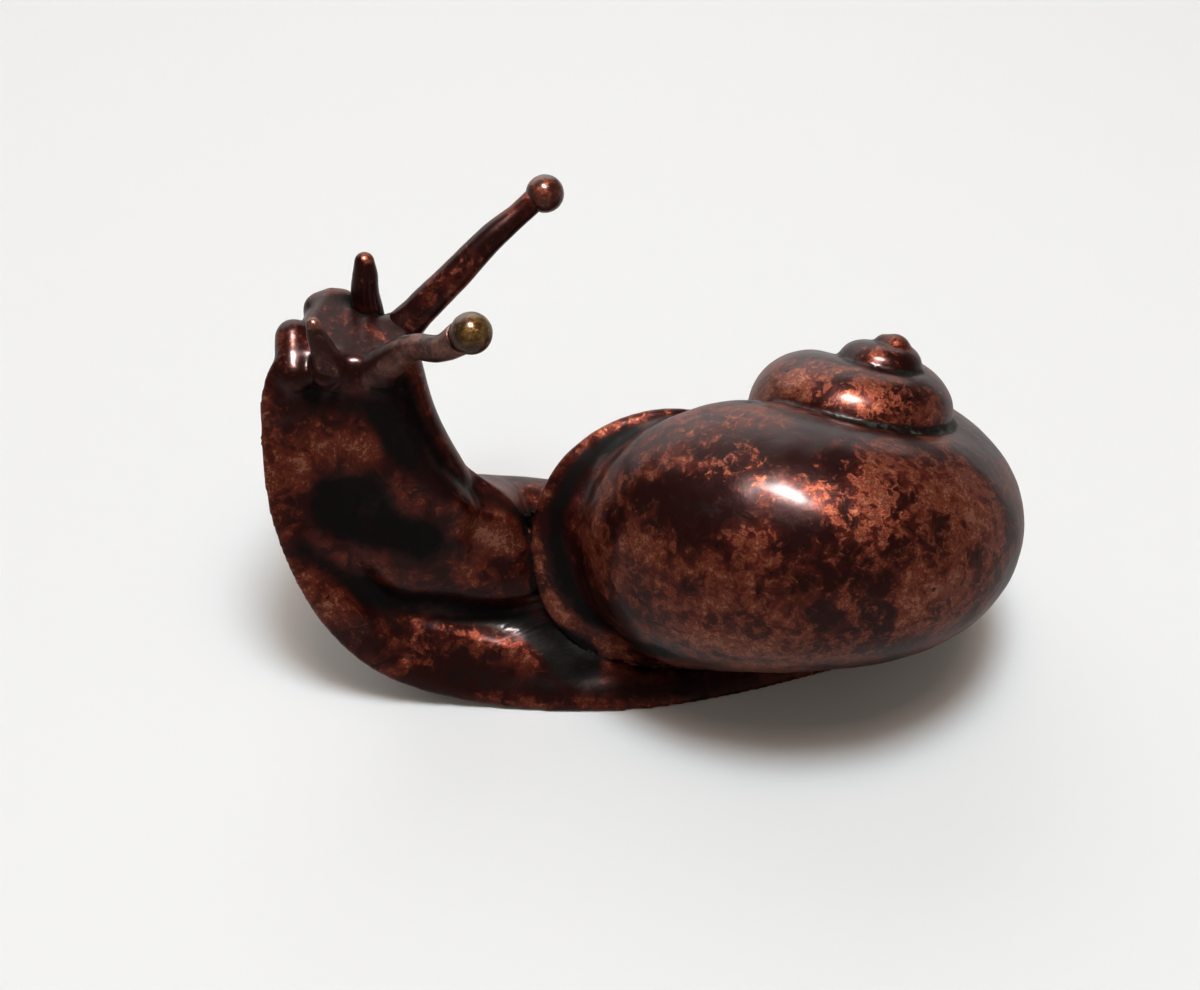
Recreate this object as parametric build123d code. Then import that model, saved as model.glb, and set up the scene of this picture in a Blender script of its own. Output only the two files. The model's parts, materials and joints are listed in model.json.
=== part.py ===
"""A cast snail figurine of patinated copper bronze, rearing its head, in millimetres.

The origin lies on the flat face that the foot rests on, under the middle of the figurine. The
head points along -X, the animal's left side faces -Y and +Z is up. Foot, neck and head are one
hollow casting closed by a sole plate. The shell is two castings, the body whorl with its mouth
and the spire that is soldered into the top of it, held to the back by one rivet. Eye stalks,
eyes and feelers are separate pieces whose pegs are soldered into drilled sockets.
"""

import math
import os

from build123d import *

# Fits, walls and fixings
solder_gap = 0.05
seat_clearance = 0.10
casting_wall = 1.8
sole_thickness = 0.9
sole_front = 5.0
overrun = 60.0

# Foot, neck and head
foot_reach = 40.0
foot_half_width = 14.0
neck_height = 36.0
back_height = 18.0
head_radius = 6.2
head_x_share = -0.625
head_y_share = 0.321
head_z_share = 0.944

# Shell
shell_wall = 1.4
whorl_radius = 15.4
orbit_share = 0.766
spire_height = 24.9
shell_lean = 35.3
shell_heading = 57.2
mouth_angle = 84.0
shell_x_share = 0.548
shell_y_share = -0.186
shell_z_share = 0.726
columella_radius = 0.7
apex_radius = 1.75
apex_depth = 2.2

# Rivet and washer
rivet_diameter = 2.0
rivet_head_diameter = 3.4
rivet_head_height = 1.0
rivet_length = 7.4
washer_diameter = 4.4
washer_thickness = 0.8
boss_diameter = 5.6
boss_depth_share = 0.39
rivet_x_share = 0.65
rivet_y_share = 0.036

# Eye stalks, eyes and feelers
left_stalk_diameter = 2.5
right_stalk_diameter = 3.0
left_eye_diameter = 3.9
right_eye_diameter = 3.7
feeler_diameter = 2.4
peg_diameter = 1.2
peg_length = 2.0
peg_overlap_share = 1.6
eye_peg_diameter = 0.8
eye_peg_length = 1.0

# How the shell winds, in degrees back from the mouth, and its growth in one turn
TURN = 360.0
whorl_growth = 2.36
section_step = 30.0
body_whorl_turn = 320.0
core_turn = 150.0
apex_turn = 1110.0
lip_overrun_turn = 2.5

# Spine of the casting from tail to crown: forward, side and up as shares of the foot's reach,
# its half width and the neck's height, then the pitch and heading in degrees, the width and
# height as shares of the half width and the back's height, how far the core is floored, and
# how tall the skirt stands.
SPINE_SHARES = [
    (1.00, 0.24, -0.006, 0, 0, 0.05, 0.06, 0, 1.00),
    (0.96, 0.20, -0.006, 0, 0, 0.16, 0.17, 0, 1.00),
    (0.84, 0.11, -0.006, 0, 0, 0.35, 0.38, 0, 1.00),
    (0.56, 0.03, -0.006, 0, 0, 0.62, 0.58, 0, 1.00),
    (0.20, 0.00, -0.006, 0, 0, 0.88, 0.72, 0, 1.10),
    (-0.14, 0.00, -0.006, 2, 0, 0.93, 0.93, 1, 1.25),
    (-0.40, 0.00, 0.042, 19, 2, 0.88, 0.95, 1, 1.35),
    (-0.59, -0.02, 0.180, 44, 7, 0.79, 0.98, 1, 1.10),
    (-0.70, 0.00, 0.400, 69, 12, 0.66, 0.97, 1, 1.00),
    (-0.76, 0.14, 0.660, 87, 17, 0.53, 0.97, 1, 1.00),
    (-0.76, 0.31, 0.870, 95, 20, 0.46, 0.84, 1, 1.00),
    (-0.74, 0.37, 0.970, 95, 20, 0.43, 0.74, 1, 1.00),
    (-0.70, 0.39, 1.020, 95, 20, 0.36, 0.60, 1, 1.00),
]

# Half of the casting's section as side and up shares of its width and height: the skirt from
# the edge of the sole to the groove, then flank and back from the groove to the middle.
SKIRT_SHARES = [(1.00, 0.00), (1.00, 0.05), (0.93, 0.13), (0.81, 0.21), (0.69, 0.27)]
BACK_SHARES = [(0.66, 0.36), (0.68, 0.50), (0.62, 0.70), (0.46, 0.88), (0.24, 0.97), (0.00, 1.00)]
flank_tuck_share = 0.25
core_width_share = 0.70

# How the shell's tube narrows into a groove and flares again at the lip: degrees before the
# lip, then size, outward shift and drop along the axis as shares of the tube's radius.
MOUTH_SHARES = [
    (60, 1.00, 0.00, 0.00),
    (40, 0.998, 0.00, 0.00),
    (26, 0.99, 0.00, 0.00),
    (15, 0.95, 0.01, 0.01),
    (8, 0.875, 0.06, 0.06),
    (3.5, 0.865, 0.13, 0.12),
    (0, 0.93, 0.19, 0.15),
]
section_top_share = 0.965
section_base_share = 1.02

# The mantle in the mouth: half-sizes outward, along the axis and out of the mouth, and its shift
# towards the lip, as shares of the tube's radius.
MANTLE_SHARES = (0.72, 0.70, 0.26)
mantle_shift_share = 0.0

# Brow lobes over the mouth and the swollen roots of the eye stalks: from, to and radius, as
# shares of the head's radius from the middle of the crown.
LOBE_SHARES = [
    ((-0.66, -0.72, 0.06), (-0.70, -0.16, 0.30), 0.30),
    ((-0.36, 0.70, 0.12), (-0.06, 0.76, 0.14), 0.30),
    ((-0.08, -0.58, -0.10), (-0.12, -0.70, 0.12), 0.34),
    ((0.42, -0.50, -0.42), (0.58, -0.64, -0.02), 0.40),
    ((0.76, 0.16, -0.40), (0.84, 0.22, -0.06), 0.43),
]

# Centre lines of stalks and feelers as shares of the head's radius, from the middle of the
# crown, each with its thickness as a share of the stalk's or feeler's diameter.
LEFT_STALK_SHARES = [
    ((0.58, -0.66, -0.02), 1.40),
    ((0.78, -0.80, 0.36), 1.15),
    ((1.22, -1.12, 0.93), 1.02),
    ((1.72, -1.63, 1.38), 1.00),
    ((2.02, -1.83, 1.76), 1.10),
]
RIGHT_STALK_SHARES = [
    ((0.82, 0.21, -0.02), 1.25),
    ((1.19, 0.40, 0.33), 1.08),
    ((1.78, 0.66, 0.86), 1.02),
    ((2.34, 0.98, 1.34), 0.94),
    ((2.78, 1.22, 1.62), 0.80),
    ((3.00, 1.36, 1.80), 0.72),
]
LEFT_FEELER_SHARES = [
    ((-0.10, -0.76, 0.16), 1.20),
    ((-0.17, -0.76, 0.55), 1.04),
    ((-0.26, -0.73, 0.86), 0.80),
    ((-0.29, -0.71, 1.03), 0.64),
]
RIGHT_FEELER_SHARES = [
    ((0.40, 0.52, 0.20), 1.25),
    ((0.37, 0.60, 0.62), 1.14),
    ((0.39, 0.65, 0.90), 1.02),
    ((0.39, 0.69, 1.10), 0.84),
]
EYE_LEFT_SHARE = (2.17, -1.92, 1.92)
EYE_RIGHT_SHARE = (3.18, 1.42, 1.86)


def blend(a, b, part):
    return a + (b - a) * part


def smooth_line(points):
    """A smooth line whose knots are spread evenly, so that like sections loft cleanly."""
    steps = len(points) - 1
    return Edge.make_spline(points, parameters=[step / steps for step in range(len(points))])


def closed_arch(points):
    """One smooth line through the points, closed by a straight one."""
    return Wire([smooth_line(points), Edge.make_line(points[-1], points[0])])


def in_head(shares):
    """A point given as shares of the head's radius from the middle of the crown."""
    crown = Vector(head_x_share * foot_reach, head_y_share * foot_half_width, head_z_share * neck_height)
    return crown + Vector(*shares) * head_radius


# The shell's axis leans back and to the right, and the whorls grow clockwise about it
lean = math.radians(shell_lean)
heading = math.radians(shell_heading)
shell_axis = Vector(
    math.sin(lean) * math.cos(heading),
    math.sin(lean) * math.sin(heading),
    math.cos(lean),
)
shell_seat = Vector(shell_x_share * foot_reach, shell_y_share * foot_half_width, shell_z_share * whorl_radius)
shell_pole = shell_seat + shell_axis * spire_height
whorl_orbit = orbit_share * whorl_radius
ahead = Vector(-1, 0, 0)
leftwards = (ahead - shell_axis * ahead.dot(shell_axis)).normalized()
frontwards = shell_axis.cross(leftwards)


def mouth_shape(angle):
    """Size, outward shift and drop of the tube, as shares of its radius."""
    if angle <= -MOUTH_SHARES[0][0]:
        return MOUTH_SHARES[0][1:]
    for before, after in zip(MOUTH_SHARES, MOUTH_SHARES[1:]):
        if angle <= -after[0]:
            part = (angle + before[0]) / (before[0] - after[0])
            return tuple(blend(p, q, part) for p, q in zip(before[1:], after[1:]))
    return MOUTH_SHARES[-1][1:]


def whorl_wire(angle, inset):
    """Section of the tube in its half-plane: an ellipse cut straight along the columella."""
    scale = whorl_growth ** (angle / TURN)
    size, shift, drop = mouth_shape(angle)
    radius = whorl_radius * scale
    orbit = whorl_orbit * scale + shift * radius
    depth = spire_height * scale + drop * radius
    across = radius * size - inset
    above = radius * size * section_top_share - inset
    below = radius * size * section_base_share - inset
    core = max(columella_radius * scale + inset, columella_radius * scale / 2)
    turn = math.radians(mouth_angle + angle)
    outward = frontwards * math.cos(turn) + leftwards * math.sin(turn)
    centre = shell_pole - shell_axis * depth + outward * orbit
    reach = math.acos((core - orbit) / across)
    points = []
    for step in range(11):
        t = reach * (step / 5 - 1)
        along = above if t > 0 else below
        points.append(centre + outward * (across * math.cos(t)) + shell_axis * (along * math.sin(t)))
    return closed_arch(points)


def whorl_tube(start, end, inset=0.0):
    """One loft of the shell's tube over less than a turn, finer where the mouth changes shape."""
    mouth = [-row[0] for row in MOUTH_SHARES]
    angles = []
    angle = start
    while angle < min(end, mouth[0]):
        angles.append(angle)
        angle += section_step
    angles += [a for a in mouth if start <= a < end]
    angles.append(end)
    return Solid.make_loft([whorl_wire(a, inset) for a in angles])


def columella(grow):
    """The solid pillar that the whorls wind about, a cone that ends inside the apex."""
    deep = spire_height * whorl_growth ** (-body_whorl_turn / TURN)
    radius = columella_radius * 2 * deep / spire_height
    tip = radius * apex_depth / deep
    base = Plane(origin=shell_pole - shell_axis * deep, z_dir=shell_axis)
    return Solid.make_cone(radius + grow, tip + grow, deep - apex_depth, base)


def apex(grow):
    """The small rounded knob that the spire starts from."""
    return ball(shell_pole - shell_axis * apex_depth, apex_radius + grow)


def spire_envelope(grow):
    """The whorls above the body whorl, fused about the columella."""
    tubes = []
    end = -body_whorl_turn
    while end > -apex_turn:
        start = max(end - body_whorl_turn, -apex_turn)
        tubes.append(whorl_tube(start, end, -grow))
        end = start
    return tubes[0].fuse(*tubes[1:], columella(grow), apex(grow))


def ball(centre, radius):
    return Solid.make_sphere(radius, Plane(origin=centre))


def capsule(start, end, radius):
    """A rounded swelling, a short bar with a ball at each end."""
    bar = Solid.make_cylinder(radius, (end - start).length, Plane(origin=start, z_dir=end - start))
    return bar.fuse(ball(start, radius), ball(end, radius))


def pin(start, direction, diameter, length):
    """A round peg, or the tool for its socket, from a point along a direction."""
    return Solid.make_cylinder(diameter / 2, length, Plane(origin=start, z_dir=direction))


def slab(low_x, low_z, high_z):
    """A block as wide as everything, from one X onwards and between two heights."""
    block = Solid.make_box(2 * overrun, 2 * overrun, high_z - low_z)
    return block.translate(Vector(low_x, -overrun, low_z))


def spine_frame(row):
    """Where a station of the casting stands, and its side and up directions."""
    x, y, z, pitch, yaw = row[:5]
    at = Vector(x * foot_reach, y * foot_half_width, z * neck_height)
    pitch, yaw = math.radians(pitch), math.radians(yaw)
    onward = Vector(-math.cos(yaw), math.sin(yaw), 0)
    side = Vector(math.sin(yaw), math.cos(yaw), 0)
    up = Vector(0, 0, 1) * math.cos(pitch) - onward * math.sin(pitch)
    return at, side, up


def body_wire(row):
    """Section of the casting: a flat sole closed by one smooth line over the back."""
    at, side, up = spine_frame(row)
    side = side * row[5] * foot_half_width
    up = up * row[6] * back_height
    tall = row[8]
    tuck = 1 - (tall - 1) * flank_tuck_share
    groove = SKIRT_SHARES[-1][1]
    skirt = [(1 - (1 - s) * tall, u * tall) for s, u in SKIRT_SHARES]
    back = [(s * tuck, blend(groove * tall, 1, (u - groove) / (1 - groove))) for s, u in BACK_SHARES]
    right_skirt = [at + side * s + up * u for s, u in skirt]
    left_skirt = [at - side * s + up * u for s, u in reversed(skirt)]
    right_back = [at + side * s + up * u for s, u in back]
    left_back = [at - side * s + up * u for s, u in reversed(back[:-1])]
    over = right_skirt[-1:] + right_back + left_back + left_skirt[:1]
    edges = [smooth_line(points) for points in (right_skirt, over, left_skirt)]
    return Wire(edges + [Edge.make_line(left_skirt[-1], right_skirt[0])])


def core_wire(row):
    """Section of the casting's hollow: a plain arch inside the flank and back."""
    at, side, up = spine_frame(row)
    width = row[5] * foot_half_width * core_width_share - casting_wall
    top = row[6] * back_height - casting_wall
    floor = row[7] * casting_wall
    points = []
    for step in range(9):
        t = math.pi * step / 8
        points.append(at + side * (width * math.cos(t)) + up * blend(floor, top, math.sin(t)))
    return closed_arch(points)


def mantle():
    """The soft collar of the animal that bulges out of the shell's mouth."""
    mouth = math.radians(mouth_angle)
    outward = frontwards * math.cos(mouth) + leftwards * math.sin(mouth)
    onward = leftwards * math.cos(mouth) - frontwards * math.sin(mouth)
    _, shift, drop = mouth_shape(0)
    orbit = whorl_orbit + (shift + mantle_shift_share) * whorl_radius
    depth = spire_height + drop * whorl_radius
    centre = shell_pole - shell_axis * depth + outward * orbit
    a, b, c = [way * share * whorl_radius for way, share in zip((outward, shell_axis, onward), MANTLE_SHARES)]
    rows = [[a.X, b.X, c.X, centre.X], [a.Y, b.Y, c.Y, centre.Y], [a.Z, b.Z, c.Z, centre.Z]]
    return Solid.make_sphere(1, Plane.XY).transform_geometry(Matrix(rows + [[0, 0, 0, 1]]))


def stalk(rows, diameter):
    """A tapering stem through the rows of a table of shares."""
    points = [in_head(shares) for shares, _ in rows]
    path = Edge.make_spline(points)
    wires = []
    for (shares, thickness), point in zip(rows, points):
        along = path.tangent_at(path.param_at_point(point))
        wires.append(Wire.make_circle(diameter * thickness / 2, Plane(origin=point, z_dir=along)))
    return Solid.make_loft(wires), path


def stem_with_peg(rows, diameter, head, tip_ball):
    """A stem seated on the head with its peg, and the tool for the socket in the head."""
    stem, path = stalk(rows, diameter)
    root, inward = path.position_at(0), path.tangent_at(0) * -1
    if tip_ball:
        stem = stem.fuse(ball(path.position_at(1), diameter * rows[-1][1] / 2))
    stem = stem.cut(head)
    overlap = diameter * peg_overlap_share
    reach = root - inward * overlap
    length = peg_length + overlap
    socket = pin(reach, inward, peg_diameter + 2 * solder_gap, length + solder_gap)
    return stem.fuse(pin(reach, inward, peg_diameter, length)), socket


def eye_with_peg(centre_shares, diameter, stem, rows):
    """A ball whose peg enters the end of its stalk, and the stalk cupped and drilled for it."""
    centre = in_head(centre_shares)
    inward = (in_head(rows[-1][0]) - centre).normalized()
    length = diameter / 2 + eye_peg_length
    eye = ball(centre, diameter / 2).fuse(pin(centre, inward, eye_peg_diameter, length))
    socket = pin(centre, inward, eye_peg_diameter + 2 * solder_gap, length + solder_gap)
    return eye, stem.cut(ball(centre, diameter / 2 + solder_gap), socket)


def main():
    # Shell castings
    spire = spire_envelope(0.0)
    body_whorl = whorl_tube(-body_whorl_turn, 0)
    core = whorl_tube(-core_turn, lip_overrun_turn, shell_wall)
    body_whorl = body_whorl.cut(core.cut(spire_envelope(shell_wall)))
    body_whorl = body_whorl.cut(spire_envelope(solder_gap))

    # Foot, neck and head in one piece before the saddle, core and sockets
    casting = Solid.make_loft([body_wire(row) for row in SPINE_SHARES])
    swellings = [capsule(in_head(a), in_head(b), share * head_radius) for a, b, share in LOBE_SHARES]
    casting = casting.fuse(*swellings, mantle())
    throat = whorl_tube(-core_turn, lip_overrun_turn, shell_wall + seat_clearance)
    seat = whorl_tube(-body_whorl_turn, 0, -seat_clearance).cut(throat)
    casting = casting.cut(seat, slab(-overrun, -overrun, 0))

    # Hollow, rivet boss and sole plate
    hollow = Solid.make_loft([core_wire(row) for row in SPINE_SHARES[2:-2]], ruled=True)
    hollow = hollow.cut(whorl_tube(-body_whorl_turn, lip_overrun_turn, -casting_wall))
    low = shell_seat.Z - boss_depth_share * whorl_radius
    boss_face = Vector(rivet_x_share * foot_reach, rivet_y_share * foot_half_width, low)
    up = Vector(0, 0, 1)
    hollow = hollow.cut(pin(boss_face, up, boss_diameter, overrun))
    plate_room = slab(-sole_front, -overrun, sole_thickness)
    above = slab(-overrun, sole_thickness, overrun)
    in_front = slab(-sole_front - 2 * overrun, -overrun, overrun)
    sole_plate = casting.cut(above, in_front)
    body = casting.cut(hollow, plate_room)

    # Rivet and washer
    washer_base = boss_face - up * washer_thickness
    head_base = washer_base - up * rivet_head_height
    clear_hole = pin(washer_base, up, rivet_diameter + 2 * seat_clearance, rivet_length)
    blind_hole = pin(washer_base, up, rivet_diameter + 2 * solder_gap, rivet_length + solder_gap)
    body = body.cut(clear_hole)
    body = body.cut(pin(head_base, up, washer_diameter + 2 * seat_clearance, boss_face.Z - head_base.Z))
    body_whorl = body_whorl.cut(blind_hole)
    washer = pin(washer_base, up, washer_diameter, washer_thickness).cut(clear_hole)
    rivet = pin(washer_base, up, rivet_diameter, rivet_length)
    rivet = rivet.fuse(pin(head_base, up, rivet_head_diameter, rivet_head_height))

    # Stalks, eyes and feelers
    parts = {}
    for name, rows, diameter, eye_at, eye_size in (
        ("left", LEFT_STALK_SHARES, left_stalk_diameter, EYE_LEFT_SHARE, left_eye_diameter),
        ("right", RIGHT_STALK_SHARES, right_stalk_diameter, EYE_RIGHT_SHARE, right_eye_diameter),
    ):
        stem, socket = stem_with_peg(rows, diameter, casting, False)
        eye, stem = eye_with_peg(eye_at, eye_size, stem, rows)
        body = body.cut(socket)
        parts[name + "_eye_stalk"] = stem
        parts[name + "_eye"] = eye
    for name, rows in (("left", LEFT_FEELER_SHARES), ("right", RIGHT_FEELER_SHARES)):
        stem, socket = stem_with_peg(rows, feeler_diameter, casting, True)
        body = body.cut(socket)
        parts[name + "_feeler"] = stem

    parts["body"] = body
    parts["sole_plate"] = sole_plate
    parts["body_whorl"] = body_whorl
    parts["spire"] = spire
    parts["shell_rivet"] = rivet
    parts["rivet_washer"] = washer
    return parts


if __name__ == "__main__":
    os.makedirs("parts", exist_ok=True)
    for name, shape in main().items():
        export_step(shape, f"parts/{name}.step")
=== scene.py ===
"""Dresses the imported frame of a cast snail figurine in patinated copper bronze."""

import json
import math

import bmesh
import bpy
import numpy as np
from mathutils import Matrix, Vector
from mathutils.bvhtree import BVHTree
from mathutils.kdtree import KDTree

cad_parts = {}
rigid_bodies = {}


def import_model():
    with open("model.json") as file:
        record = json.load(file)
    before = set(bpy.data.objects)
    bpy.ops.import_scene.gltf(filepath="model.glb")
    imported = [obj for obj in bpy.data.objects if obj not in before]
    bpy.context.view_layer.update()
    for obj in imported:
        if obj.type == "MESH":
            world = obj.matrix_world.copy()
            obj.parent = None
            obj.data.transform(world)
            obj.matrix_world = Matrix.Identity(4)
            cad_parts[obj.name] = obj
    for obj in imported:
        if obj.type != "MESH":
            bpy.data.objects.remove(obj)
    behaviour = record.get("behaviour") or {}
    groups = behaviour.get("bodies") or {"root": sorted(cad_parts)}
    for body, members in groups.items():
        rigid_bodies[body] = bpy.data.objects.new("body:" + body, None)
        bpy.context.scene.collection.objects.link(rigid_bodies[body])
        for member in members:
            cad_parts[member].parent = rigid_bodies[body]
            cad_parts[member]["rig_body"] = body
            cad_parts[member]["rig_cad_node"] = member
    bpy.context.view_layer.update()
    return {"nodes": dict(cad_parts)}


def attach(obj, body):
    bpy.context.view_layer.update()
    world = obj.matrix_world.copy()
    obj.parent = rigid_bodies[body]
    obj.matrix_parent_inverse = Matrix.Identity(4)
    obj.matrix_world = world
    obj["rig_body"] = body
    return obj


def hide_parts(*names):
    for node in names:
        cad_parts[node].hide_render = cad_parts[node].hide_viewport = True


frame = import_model()

bl_info = {
    "name": "Bronze snail figurine",
    "version": (1, 0, 0),
    "blender": (4, 5, 0),
    "location": "3D View > Sidebar > Snail",
    "description": "Builds a cast snail figurine around its packed frame",
    "category": "Object",
}

MM = 0.001
PER_MM = 1000.0
TURN = 360.0
TINY = 1e-12

# Points nearer than this are one point, in metres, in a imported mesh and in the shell
MERGE_DISTANCE = 1e-7
SHELL_MERGE_DISTANCE = 1e-6

# How much of each step of softening is taken, and how finely balls and curves are divided
SOFTEN_SHARE = 0.5
BALL_SUBDIVISIONS = 4
CURVE_STEPS = 24

# Size of the picture that places are given in, and the camera sensor's width in millimetres
PICTURE = (1200, 990)
SENSOR = 36.0

# How the shell's tube narrows into a groove and flares at the lip: degrees before the lip, then
# size, outward shift and drop along the axis as shares of the tube's radius
MOUTH_SHARES = [
    (60, 1.00, 0.00, 0.00),
    (40, 0.998, 0.00, 0.00),
    (26, 0.99, 0.00, 0.00),
    (15, 0.95, 0.01, 0.01),
    (8, 0.875, 0.06, 0.06),
    (3.5, 0.865, 0.13, 0.12),
    (0, 0.93, 0.19, 0.15),
]
MOUTH_START = 60.0

# Centre lines of stalks and feelers as shares of the head's radius, from the middle of the
# crown, each with its thickness as a share of the stem's diameter
STEM_SHARES = {
    "left_eye_stalk": [
        ((0.22, -0.28, -0.56), 1.60),
        ((0.54, -0.66, -0.10), 1.85),
        ((0.78, -0.81, 0.33), 1.40),
        ((1.22, -1.12, 0.93), 1.02),
        ((1.72, -1.63, 1.38), 1.02),
        ((2.02, -1.83, 1.76), 1.28),
    ],
    "right_eye_stalk": [
        ((0.62, 0.10, -0.24), 1.60),
        ((0.82, 0.21, -0.02), 1.36),
        ((1.19, 0.40, 0.33), 1.10),
        ((1.78, 0.66, 0.86), 1.02),
        ((2.34, 0.98, 1.34), 0.90),
        ((2.78, 1.22, 1.62), 0.76),
        ((3.04, 1.37, 1.81), 0.78),
    ],
    "left_feeler": [
        ((0.04, -0.48, -0.34), 1.30),
        ((-0.08, -0.74, 0.12), 1.40),
        ((-0.17, -0.76, 0.55), 1.04),
        ((-0.26, -0.73, 0.86), 0.78),
        ((-0.29, -0.71, 1.03), 0.62),
    ],
    "right_feeler": [
        ((0.42, 0.46, -0.10), 1.50),
        ((0.40, 0.52, 0.20), 1.28),
        ((0.37, 0.60, 0.62), 1.14),
        ((0.39, 0.65, 0.90), 1.02),
        ((0.39, 0.69, 1.10), 0.82),
    ],
}
EYE_SHARES = {"left_eye": (2.17, -1.92, 1.92), "right_eye": (3.18, 1.42, 1.86)}

# How a fold fades towards its ends: the share of its length that fades, and what is left there
FOLD_FADE = 0.30
FOLD_END = 0.15

# Folds and creases pressed into or raised on the casting: places in the picture's frame, depth
# (raised where positive) and half width in millimetres
FOLDS = [
    ([(402, 372), (419, 424), (441, 461), (466, 483), (494, 497), (536, 512)], -0.4, 1.1),
    ([(388, 398), (406, 440), (428, 478), (458, 504), (492, 522), (530, 540)], 0.48, 1.4),
    ([(297, 550), (320, 562), (349, 583), (380, 604), (405, 610)], -0.55, 1.7),
    ([(395, 606), (430, 604), (458, 608), (506, 622), (552, 640), (580, 658)], -0.6, 1.9),
    ([(312, 582), (330, 597), (352, 612), (372, 628)], 0.5, 1.7),
    ([(407, 627), (440, 631), (473, 639), (500, 648), (534, 653)], 0.55, 1.5),
    ([(392, 618), (401, 636), (404, 652), (396, 662)], -0.5, 1.0),
    ([(278, 388), (280, 404), (284, 424)], 0.3, 1.8),
    ([(440, 664), (480, 674), (532, 680)], -0.3, 2.2),
    ([(574, 684), (590, 674), (612, 668)], -0.22, 1.3),
    ([(330, 502), (352, 514), (385, 522), (425, 536)], -0.9, 3.4),
    ([(292, 400), (300, 440), (312, 490)], 0.25, 2.4),
    ([(470, 548), (500, 562), (528, 574)], -0.45, 2.0),
    ([(322, 396), (342, 402), (366, 398)], -0.35, 1.5),
    ([(546, 484), (537, 508), (534, 535), (537, 562), (546, 588), (560, 608)], -1.5, 2.1),
    ([(314, 374), (323, 381), (334, 379)], 0.28, 0.7),
    ([(372, 398), (384, 376), (398, 360)], 0.3, 1.2),
]


def camera_place(stage):
    """Where the camera stands, the way back to it from its target, and its upward way."""
    tilt = math.radians(stage.elevation)
    back = Vector((0, -math.cos(tilt), math.sin(tilt)))
    up = Vector((0, math.sin(tilt), math.cos(tilt)))
    return Vector(stage.target) + back * stage.distance, back, up


def camera_ray(px, py):
    """Start and direction of the line of sight through a place in the picture."""
    stage = bpy.context.scene.snail_stage
    eye, back, up = camera_place(stage)
    across = (px - PICTURE[0] / 2) / PICTURE[0] * SENSOR / stage.lens
    rise = (PICTURE[1] / 2 - py) / PICTURE[0] * SENSOR / stage.lens
    return eye, (Vector((1, 0, 0)) * across + up * rise - back).normalized()


# Node helpers


class Value:
    """A node's output in a formula, where + - * / and ** each add a maths node."""

    def __init__(self, graph, socket):
        self.graph = graph
        self.socket = socket

    def __add__(self, other):
        return self.graph.math("ADD", self, other)

    def __sub__(self, other):
        return self.graph.math("SUBTRACT", self, other)

    def __rsub__(self, other):
        return self.graph.math("SUBTRACT", other, self)

    def __mul__(self, other):
        return self.graph.math("MULTIPLY", self, other)

    def __truediv__(self, other):
        return self.graph.math("DIVIDE", self, other)

    def __pow__(self, other):
        return self.graph.math("POWER", self, other)


class Graph:
    """Adds nodes to a tree and links them."""

    def __init__(self, tree):
        self.tree = tree

    def given(self):
        """The tree's own inputs by name."""
        outputs = self.tree.nodes.new("NodeGroupInput").outputs
        return {socket.name: Value(self, socket) for socket in outputs if socket.name}

    def give(self, *values):
        """Links values to the tree's own outputs in their order."""
        ends = self.tree.nodes.new("NodeGroupOutput").inputs
        for socket, value in zip(ends, values):
            self.put(socket, value)

    def put(self, socket, value):
        if isinstance(value, Value):
            self.tree.links.new(value.socket, socket)
        else:
            socket.default_value = value

    def add(self, kind, settings=None, output=0, **sockets):
        """A new node's output, with values for its inputs by their names."""
        node = self.tree.nodes.new(kind)
        for key, value in (settings or {}).items():
            setattr(node, key, value)
        for key, value in sockets.items():
            self.put(node.inputs[key.replace("_", " ")], value)
        return Value(self, node.outputs[output])

    def math(self, operation, *values, clamp=False):
        node = self.tree.nodes.new("ShaderNodeMath")
        node.operation = operation
        node.use_clamp = clamp
        for socket, value in zip(node.inputs, values):
            self.put(socket, value)
        return Value(self, node.outputs[0])

    def vector(self, operation, *values, scale=None):
        node = self.tree.nodes.new("ShaderNodeVectorMath")
        node.operation = operation
        for socket, value in zip(node.inputs, values):
            self.put(socket, value)
        if scale is not None:
            self.put(node.inputs["Scale"], scale)
        return Value(self, node.outputs["Vector"])

    def curve(self, value, points):
        node = self.tree.nodes.new("ShaderNodeFloatCurve")
        line = node.mapping.curves[0]
        line.points[0].location = points[0]
        line.points[1].location = points[-1]
        for x, y in points[1:-1]:
            line.points.new(x, y)
        node.mapping.update()
        self.put(node.inputs["Value"], value)
        return Value(self, node.outputs[0])

    def blend(self, part, first, second):
        """A colour between two."""
        node = self.tree.nodes.new("ShaderNodeMix")
        node.data_type = "RGBA"
        for number, value in ((0, part), (6, first), (7, second)):
            self.put(node.inputs[number], value)
        return Value(self, node.outputs[2])


def tree_sockets(tree, rows, way="INPUT"):
    """Declares a tree's named sockets: name, socket type and default."""
    for name, kind, default in rows:
        socket = tree.interface.new_socket(name, in_out=way, socket_type="NodeSocket" + kind)
        if default is not None:
            socket.default_value = default


def finish_tree(g, geometry, offset, material):
    """Moves a surface in and out, makes it real and gives it its material."""
    push = g.vector("SCALE", g.add("GeometryNodeInputNormal"), scale=offset)
    uneven = g.add("GeometryNodeSetPosition", Geometry=geometry, Offset=push)
    real = g.add("GeometryNodeRealizeInstances", Geometry=uneven)
    g.give(g.add("GeometryNodeSetMaterial", Geometry=real, Material=material))


def set_modifier(modifier, values):
    """Sets a node modifier's inputs by the identifiers of their sockets."""
    for item in modifier.node_group.interface.items_tree:
        if item.item_type == "SOCKET" and item.in_out == "INPUT" and item.name in values:
            modifier[item.identifier] = values[item.name]


# Mesh helpers


def placed(name, data):
    """A new object in the scene."""
    thing = bpy.data.objects.new(name, data)
    bpy.context.scene.collection.objects.link(thing)
    return thing


def empty_object(name):
    return placed(name, bpy.data.meshes.new(name))


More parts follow.
